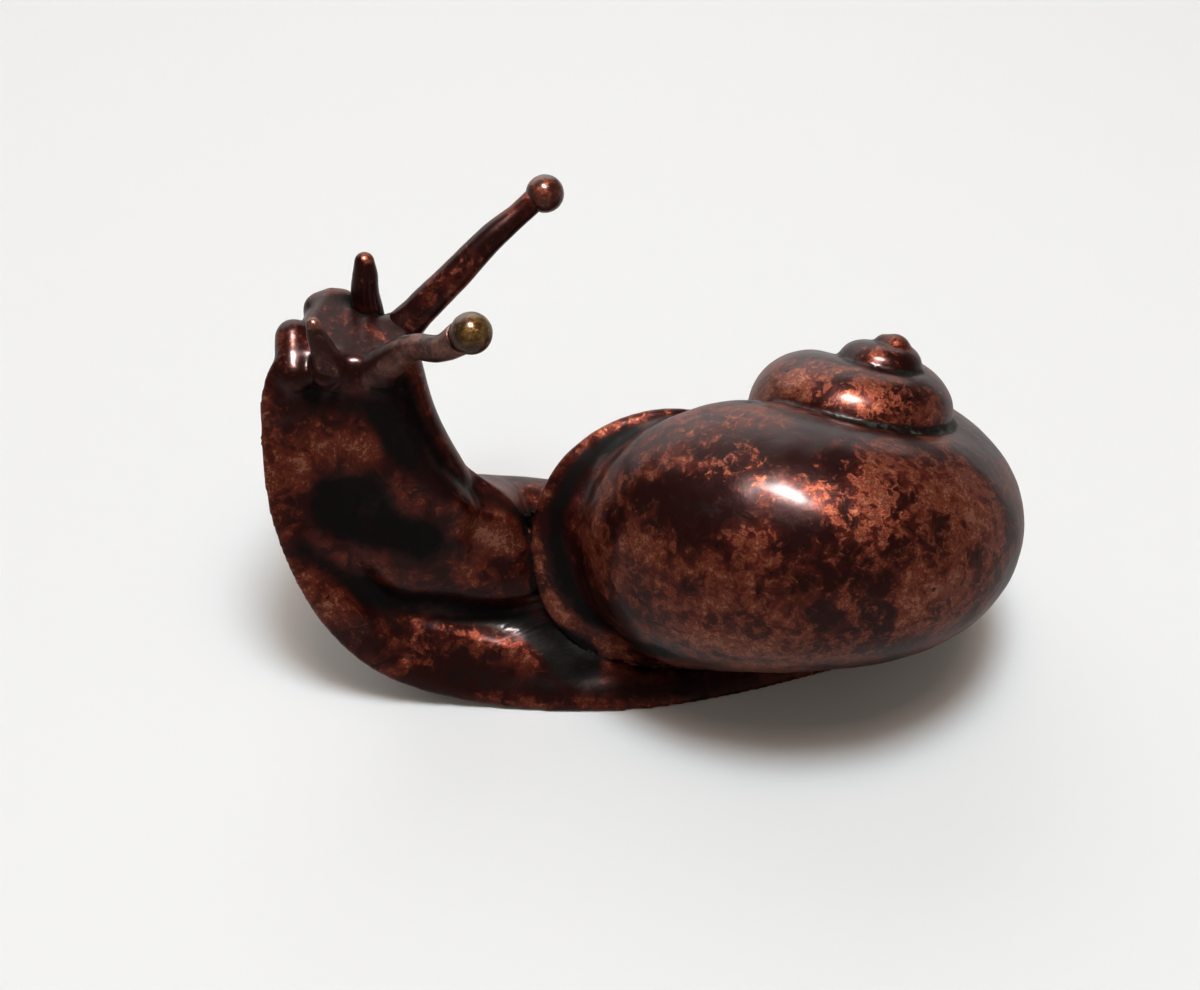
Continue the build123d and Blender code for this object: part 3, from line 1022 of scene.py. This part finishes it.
def patina_group():
    """Layered patina: maroon film, rubbed copper patches with painted highlights among them, black
    in the hollows that is partly patina and partly painted shade, verdigris, pits.
    """
    old = bpy.data.node_groups.get("bronze_patina")
    if old:
        return old
    tree = bpy.data.node_groups.new("bronze_patina", "ShaderNodeTree")
    tree_sockets(tree, PATINA)
    tree_sockets(tree, PATINA_RESULTS, "OUTPUT")
    g = Graph(tree)
    given = g.given()
    place = g.add("ShaderNodeTexCoord", output="Object")
    place = g.vector("ADD", g.vector("SCALE", place, scale=PER_MM), given["Offset"])
    openness = g.add("ShaderNodeAttribute", {"attribute_name": "openness"}, "Fac")
    rub = g.add("ShaderNodeAttribute", {"attribute_name": "rub"}, "Fac")

    def noise(values, where=place):
        names = ("Scale", "Detail", "Roughness", "Distortion")
        return g.add("ShaderNodeTexNoise", Vector=where, **dict(zip(names, values)))

    def ramp(value, limits):
        return g.add(
            "ShaderNodeMapRange", {"interpolation_type": "SMOOTHSTEP"},
            Value=value, From_Min=limits[0], From_Max=limits[1],
        )

    broad, middle, fine, flakes = noise(BROAD), noise(MIDDLE), noise(FINE), noise(FLAKES)
    closed = 1 - ramp(openness, CLOSED_RANGE)

    # Film: red-brown to maroon in soft clouds
    clouds = middle * 0.6 + broad * 0.4 + rub * 0.05
    film = g.blend(ramp(clouds, CLOUD_RANGE), given["Deep Film"], given["Film"])

    # Rubbed copper, with ragged edges and islands of film left in it, partly painted highlights and
    # reflections where the marks put them
    drive = (broad - 0.5) * 0.55 + (middle - 0.5) * 0.75 + (fine - 0.5) * 1.30
    drive = drive + rub * 0.125 + given["Rubbing"] + closed * -0.20
    copper = ramp(drive, COPPER_RANGE)
    bright = ramp(drive + (flakes - 0.5) * 0.8, BRIGHT_RANGE)
    colour = g.blend(ramp(drive, THIN_RANGE) * 0.30, film, given["Copper"])
    dull = g.blend(0.50, given["Copper"], given["Film"])
    tint = g.blend(ramp(flakes, TINT_RANGE), dull, given["Copper"])
    colour = g.blend(copper * 0.90, colour, tint)
    colour = g.blend(bright * 0.55, colour, given["Bright Copper"])

    # Fine scratches
    stretched = g.vector("MULTIPLY", place, SCRATCH_STRETCH)
    scratch = ramp(noise(SCRATCHES, stretched), SCRATCH_RANGE) * ramp(broad, SCRATCHED_RANGE)
    colour = g.blend(scratch * 0.5, colour, given["Copper"])

    # Pits, black in the hollows and where it was never rubbed, partly dark patina and partly
    # painted shade in hollows, creases, between pieces and under the skirt, and verdigris
    pits = ramp(noise(PITS), PIT_RANGE)
    colour = g.blend(pits * 0.85, colour, given["Grime"])
    # Where the marks take wear away, near black is painted: dark film and painted shade
    unrubbed_and_shaded = g.math("MULTIPLY", rub * -1 - 0.15, 0.52, clamp=True)
    grime_and_shade = closed + unrubbed_and_shaded + (middle - 0.5) * 1.6 + (fine - 0.5) * 1.3
    grime_and_shade = ramp(grime_and_shade, GRIME_AND_SHADE_RANGE) * 0.95
    colour = g.blend(grime_and_shade, colour, given["Grime"])
    green = ramp(closed, GREEN_RANGE) * ramp(fine, GREEN_SPOTS) * given["Green"]
    colour = g.blend(green, colour, given["Verdigris"])

    roughness = copper * 0.08 + 0.30 + grime_and_shade * 0.22 + (fine - 0.5) * 0.16
    height = fine * 0.18 + middle * 0.55 + pits * -0.5 + copper * -0.12 + scratch * -0.10
    metal = g.math("MULTIPLY_ADD", copper, 0.22, 0.42)
    metal = g.math("SUBTRACT", metal, grime_and_shade * 0.42, clamp=True)
    coat = given["Gloss"] * (1 - grime_and_shade * 0.85)
    g.give(colour, roughness, height, metal, coat)
    return tree


def bronze(name, values=(), coat_roughness=COAT_ROUGHNESS, offset=(0, 0, 0)):
    """A patinated bronze with its own colours."""
    material = bpy.data.materials.get(name)
    if material:
        return material
    material = bpy.data.materials.new(name)
    material.use_nodes = True
    tree = material.node_tree
    g = Graph(tree)
    shader = tree.nodes["Principled BSDF"]
    patina = tree.nodes.new("ShaderNodeGroup")
    patina.node_tree = patina_group()
    for key, value in dict(values, Offset=offset).items():
        patina.inputs[key].default_value = value
    colour, roughness, height, metal, coat = (Value(g, socket) for socket in patina.outputs)
    relief = g.add(
        "ShaderNodeBump", Height=height, Strength=RELIEF_STRENGTH, Distance=RELIEF_DEPTH
    )
    for socket, value in (
        ("Base Color", colour), ("Roughness", roughness), ("Metallic", metal),
        ("Coat Weight", coat), ("Normal", relief), ("Coat Roughness", coat_roughness),
        ("Coat IOR", COAT_IOR), ("Specular IOR Level", SPECULAR_LEVEL),
    ):
        g.put(shader.inputs[socket], value)
    return material


def shell_material():
    return bronze("shell_bronze_patina", {"Green": 0.30}, offset=(40, 0, 0))


def body_material():
    return bronze("body_bronze_patina", {"Green": 0.0, "Copper": (0.165, 0.034, 0.015, 1)})


def stalk_material():
    return bronze("purple_bronze_patina", {
        "Film": (0.10, 0.034, 0.028, 1), "Deep Film": (0.035, 0.011, 0.009, 1),
        "Copper": (0.22, 0.095, 0.068, 1),
    })


def dark_stalk_material():
    return bronze("dark_bronze_patina", {"Rubbing": -0.03})


def brass_eye_material():
    return bronze("brass_eye", {
        "Film": (0.075, 0.030, 0.008, 1), "Deep Film": (0.030, 0.011, 0.004, 1),
        "Copper": (0.16, 0.088, 0.022, 1), "Bright Copper": (0.30, 0.18, 0.06, 1),
        "Rubbing": 0.02, "Gloss": 0.7,
    }, EYE_COAT_ROUGHNESS)


def copper_eye_material():
    values = {"Rubbing": -0.10, "Film": (0.055, 0.014, 0.009, 1), "Gloss": 0.7}
    return bronze("copper_eye", values, EYE_COAT_ROUGHNESS)


# Fixings


class SNAIL_OT_fixings(bpy.types.Operator):
    """Finish the rivet and its washer under the back"""

    bl_idname = "snail.fixings"
    bl_label = "Rivet and Washer"

    def execute(self, context):
        for node in ("shell_rivet", "rivet_washer"):
            finish_in(frame["nodes"][node], brass_eye_material())
        return {"FINISHED"}


# Stage


FLOOR_HALF_WIDTH = 2.5
FLOOR_ROUGHNESS = 0.6
FLOOR_SPECULAR = 0.2
CLIP_START = 0.01
WORLD_COLOUR = (1.0, 0.90, 0.81, 1)

# How far behind the figurine the paper's reflection fades to its own colour
REFLECTION_FADE = (0.02, 0.20)

# Height in the sky, as the sine of its angle, where the horizon's light has faded to the zenith's
ZENITH = 0.8

# Lights: place, width and depth, colour, and whether the light is seen by the bronze's gloss and
# by its colour. The setting <name>_power holds a light's power.
LIGHTS = {
    "window": ((-0.20, 0.50, 0.46), (0.90, 0.55), (1.0, 0.97, 0.93), True, True),
    "lamp": ((0.04, -0.06, 0.56), (0.15, 0.15), (0.86, 1.04, 1.16), False, True),
    "lamp_glow": ((0.04, -0.06, 0.56), (0.30, 0.30), (1.22, 0.93, 0.74), False, True),
    "lamp_shine": ((-0.03, -0.04, 0.56), (0.20, 0.13), (1.0, 0.98, 0.95), True, False),
    "wall": ((-0.15, 0.60, 0.26), (1.20, 0.50), (0.97, 1.0, 1.0), True, False),
}


def paper_material(stage):
    """White paper, a little darker where the bronze in front of it reflects it."""
    paper = bpy.data.materials.new("paper")
    paper.use_nodes = True
    shader = paper.node_tree.nodes["Principled BSDF"]
    g = Graph(paper.node_tree)
    mirrored = g.add("ShaderNodeLightPath", output="Is Glossy Ray")
    place = g.add("ShaderNodeTexCoord", output="Object")
    behind = g.add("ShaderNodeSeparateXYZ", output="Y", Vector=place)
    start, end = REFLECTION_FADE
    near = g.add(
        "ShaderNodeMapRange",
        Value=behind, From_Min=start, From_Max=end, To_Min=1.0, To_Max=0.0,
    )
    tone = g.blend(mirrored * near, (*stage.paper_colour, 1), (*stage.paper_reflected, 1))
    g.put(shader.inputs["Base Color"], tone)
    g.put(shader.inputs["Roughness"], FLOOR_ROUGHNESS)
    g.put(shader.inputs["Specular IOR Level"], FLOOR_SPECULAR)
    return paper


def light_world(scene, stage):
    """Soft light from all round, brightest at the horizon, and dimmer where bronze mirrors it."""
    scene.world = bpy.data.worlds.new("studio")
    scene.world.use_nodes = True
    g = Graph(scene.world.node_tree)
    way = g.add("ShaderNodeTexCoord", output="Generated")
    strength = g.add(
        "ShaderNodeMapRange", Value=g.add("ShaderNodeSeparateXYZ", output="Z", Vector=way),
        From_Max=ZENITH, To_Min=stage.horizon_strength, To_Max=stage.world_strength,
    )
    mirrored = g.add("ShaderNodeLightPath", output="Is Glossy Ray")
    background = scene.world.node_tree.nodes["Background"]
    g.put(background.inputs["Color"], WORLD_COLOUR)
    g.put(background.inputs["Strength"], strength * (1 - mirrored * (1 - stage.world_mirrored)))


class SNAIL_OT_stage(bpy.types.Operator):
    """Set the paper floor, the lights and the camera"""

    bl_idname = "snail.stage"
    bl_label = "Stage"

    def execute(self, context):
        scene, stage = context.scene, context.scene.snail_stage
        floor = empty_object("paper_floor")
        work = bmesh.new()
        bmesh.ops.create_grid(work, x_segments=1, y_segments=1, size=FLOOR_HALF_WIDTH)
        work.to_mesh(floor.data)
        work.free()
        floor.data.materials.append(paper_material(stage))
        light_world(scene, stage)
        target = Vector(stage.target)
        for name, (place, size, colour, in_gloss, in_colour) in LIGHTS.items():
            light = bpy.data.lights.new(name, "AREA")
            light.shape = "ELLIPSE"
            light.size, light.size_y = size
            light.energy = getattr(stage, name + "_power")
            light.color = colour
            thing = placed(name, light)
            thing.visible_glossy, thing.visible_diffuse = in_gloss, in_colour
            thing.location = place
            thing.rotation_euler = (target - Vector(place)).to_track_quat("-Z", "Y").to_euler()
        camera = placed("camera", bpy.data.cameras.new("camera"))
        camera.data.lens = stage.lens
        camera.data.sensor_width = SENSOR
        camera.data.clip_start = CLIP_START
        camera.location = camera_place(stage)[0]
        camera.rotation_euler = (math.radians(90 - stage.elevation), 0, 0)
        scene.camera = camera
        scene.view_settings.view_transform = "Standard"
        return {"FINISHED"}


# Sizes and colours a user would change


def number_of(name, about, default, **more):
    return bpy.props.FloatProperty(name=name, description=about, default=default, **more)


def size_of(name, about, default):
    return number_of(name, about, default, unit="LENGTH", precision=5)


def turn_of(name, about, degrees):
    return number_of(name, about, math.radians(degrees), unit="ROTATION")


def count_of(name, about, default):
    return bpy.props.IntProperty(name=name, description=about, default=default)


def three_of(name, about, default, **more):
    return bpy.props.FloatVectorProperty(name=name, description=about, default=default, **more)


def point_of(name, about, default):
    return three_of(name, about, default, subtype="TRANSLATION", unit="LENGTH")


def colour_of(name, about, default):
    return three_of(name, about, default, subtype="COLOR")


class SnailShellSettings(bpy.types.PropertyGroup):
    whorl_radius: size_of("Whorl Radius", "Radius of the tube at the mouth", 0.0154)
    whorl_orbit: size_of("Whorl Orbit", "Distance from the axis to the tube's middle", 0.0118)
    spire_height: size_of("Spire Height", "Height from the mouth's middle up to the pole", 0.0249)
    wall: size_of("Wall", "Thickness of the wall at the mouth", 0.0014)
    columella: size_of("Columella", "Radius of the pillar that the whorls wind about", 0.0007)
    apex_radius: size_of("Apex Radius", "Radius of the knob at the top", 0.00175)
    apex_depth: size_of("Apex Depth", "Distance of the knob's middle below the pole", 0.0022)
    growth: number_of("Growth", "How much larger each turn is", 2.36)
    lean: turn_of("Lean", "How far the axis leans from upright", 35.3)
    heading: turn_of("Heading", "The way that the axis leans", 57.2)
    mouth_angle: turn_of("Mouth Angle", "Where round the axis the mouth is", 84.0)
    turned: turn_of("Turned", "How far the whorls wind back from the mouth", 1110.0)
    pole: point_of("Pole", "Point that the spiral shrinks to", (0.02971, 0.00949, 0.03150))
    unevenness: size_of("Unevenness", "How far hand work wanders from the true spiral", 0.00025)
    voxel: size_of("Skin Size", "Grain of the skin that joins the whorls", 0.00026)
    soften_passes: count_of("Soften", "Passes of softening", 8)
    kept: number_of("Kept", "Share of the skin's faces that are kept", 0.70)


class SnailCastingSettings(bpy.types.PropertyGroup):
    voxel: size_of("Skin Size", "Grain of the casting's skin", 0.00028)
    soften_passes: count_of("Soften", "Passes of softening", 24)
    kept: number_of("Kept", "Share of the skin's faces that are kept", 0.65)
    seat_reach: size_of("Seat Reach", "How near the shell the casting is drawn on to it", 0.0007)
    seat_draw: size_of("Seat Draw", "How far the casting is drawn into the shell", 0.00045)
    tuck_gap: size_of("Tuck Gap", "Gap left between the casting and the inside of the lip", 0.0003)
    tuck_depth: size_of("Tuck Depth", "What stands farther out than this is not drawn in", 0.0100)
    tuck_low: size_of("Tuck Low", "Height of the foot, which is not drawn in", 0.0028)
    tuck_back: number_of("Tuck Back", "Degrees behind the lip", 50.0)
    tuck_front: number_of("Tuck Front", "Degrees in front of the lip", 16.0)


class SnailHeadSettings(bpy.types.PropertyGroup):
    place: point_of("Crown", "Middle of the crown of the head", (-0.025, 0.0045, 0.034))
    radius: size_of("Head Radius", "Radius of the crown of the head", 0.0062)
    left_stalk: size_of("Left Stalk", "Diameter of the left eye stalk", 0.0025)
    right_stalk: size_of("Right Stalk", "Diameter of the right eye stalk", 0.0030)
    left_eye: size_of("Left Eye", "Diameter of the left eye", 0.0039)
    right_eye: size_of("Right Eye", "Diameter of the right eye", 0.0037)
    feeler: size_of("Feeler", "Diameter of the feelers", 0.0024)
    voxel: size_of("Skin Size", "Grain of the stems' skin", 0.00013)
    soften_passes: count_of("Soften", "Passes of softening", 6)


class SnailPatinaSettings(bpy.types.PropertyGroup):
    # How far the lines reach that find hollows, which darken with grime and painted shade
    grime_and_shade_reach: size_of("Grime Reach", "How near a surface has to be to collect grime", 0.006)
    samples: count_of("Samples", "Places on a piece that are tested", 9000)
    rays: count_of("Rays", "Lines out of each place that are tested", 20)
    bend_passes: count_of("Bend Passes", "How far bends are evened out", 8)
    edge_rub: number_of("Edge Rub", "How much more sharp edges are rubbed", 0.9)
    # Valleys darken with grime and painted shade
    valley_grime_and_shade: number_of("Valley Grime", "How much valleys darken", 0.30)


class SnailStageSettings(bpy.types.PropertyGroup):
    target: point_of("Target", "Point that the camera looks at", (0, 0, 0.018))
    distance: size_of("Distance", "Distance of the camera from its target", 0.240)
    elevation: number_of("Elevation", "Camera's height in degrees", 45.0)
    lens: number_of("Lens", "Focal length in millimetres", 72.0)
    paper_colour: colour_of("Paper", "Colour of the paper", (0.86, 0.86, 0.855))
    paper_reflected: colour_of("Paper in Bronze", "Colour of its reflection", (0.36, 0.34, 0.33))
    world_strength: number_of("World", "Light from overhead", 0.13)
    world_mirrored: number_of("Mirrored", "Share of that light that the bronze reflects", 0.5)
    horizon_strength: number_of("Horizon", "Light from all round", 0.42)
    window_power: number_of("Window", "Power of the large light", 1.2)
    lamp_power: number_of("Lamp", "Power of the light overhead", 1.60)
    lamp_glow_power: number_of("Glow", "Power of the warm glow round the lamp", 1.00)
    lamp_shine_power: number_of("Shine", "Power of the lamp as the bronze reflects it", 8.5)
    wall_power: number_of("Wall", "Power of the pale wall that the bronze reflects", 2.0)


class SNAIL_PT_panel(bpy.types.Panel):
    """Lists the figurine's sizes and the steps that build it"""

    bl_label = "Snail Figurine"
    bl_idname = "SNAIL_PT_panel"
    bl_space_type = "VIEW_3D"
    bl_region_type = "UI"
    bl_category = "Snail"

    def draw(self, context):
        for title, owner, _ in SETTINGS:
            box = self.layout.box()
            box.label(text=title)
            group = getattr(context.scene, owner)
            for name in group.bl_rna.properties.keys():
                if name not in ("rna_type", "name"):
                    box.prop(group, name)
        for operator in OPERATORS:
            self.layout.operator(operator.bl_idname)


SETTINGS = [
    ("Shell", "snail_shell", SnailShellSettings),
    ("Casting", "snail_casting", SnailCastingSettings),
    ("Head", "snail_head", SnailHeadSettings),
    ("Patina", "snail_patina", SnailPatinaSettings),
    ("Stage", "snail_stage", SnailStageSettings),
]
OPERATORS = [
    SNAIL_OT_stage, SNAIL_OT_shell, SNAIL_OT_casting, SNAIL_OT_stalks, SNAIL_OT_feelers,
    SNAIL_OT_eyes, SNAIL_OT_fixings, SNAIL_OT_wear,
]


def register():
    for _, owner, group in SETTINGS:
        bpy.utils.register_class(group)
        setattr(bpy.types.Scene, owner, bpy.props.PointerProperty(type=group))
    for kind in OPERATORS + [SNAIL_PT_panel]:
        bpy.utils.register_class(kind)


def unregister():
    for kind in reversed(OPERATORS + [SNAIL_PT_panel]):
        bpy.utils.unregister_class(kind)
    for _, owner, group in reversed(SETTINGS):
        delattr(bpy.types.Scene, owner)
        bpy.utils.unregister_class(group)


def main():
    register()
    for operator in OPERATORS:
        step = getattr(bpy.ops.snail, operator.bl_idname.split(".")[1])
        step()


if __name__ == "__main__":
    main()
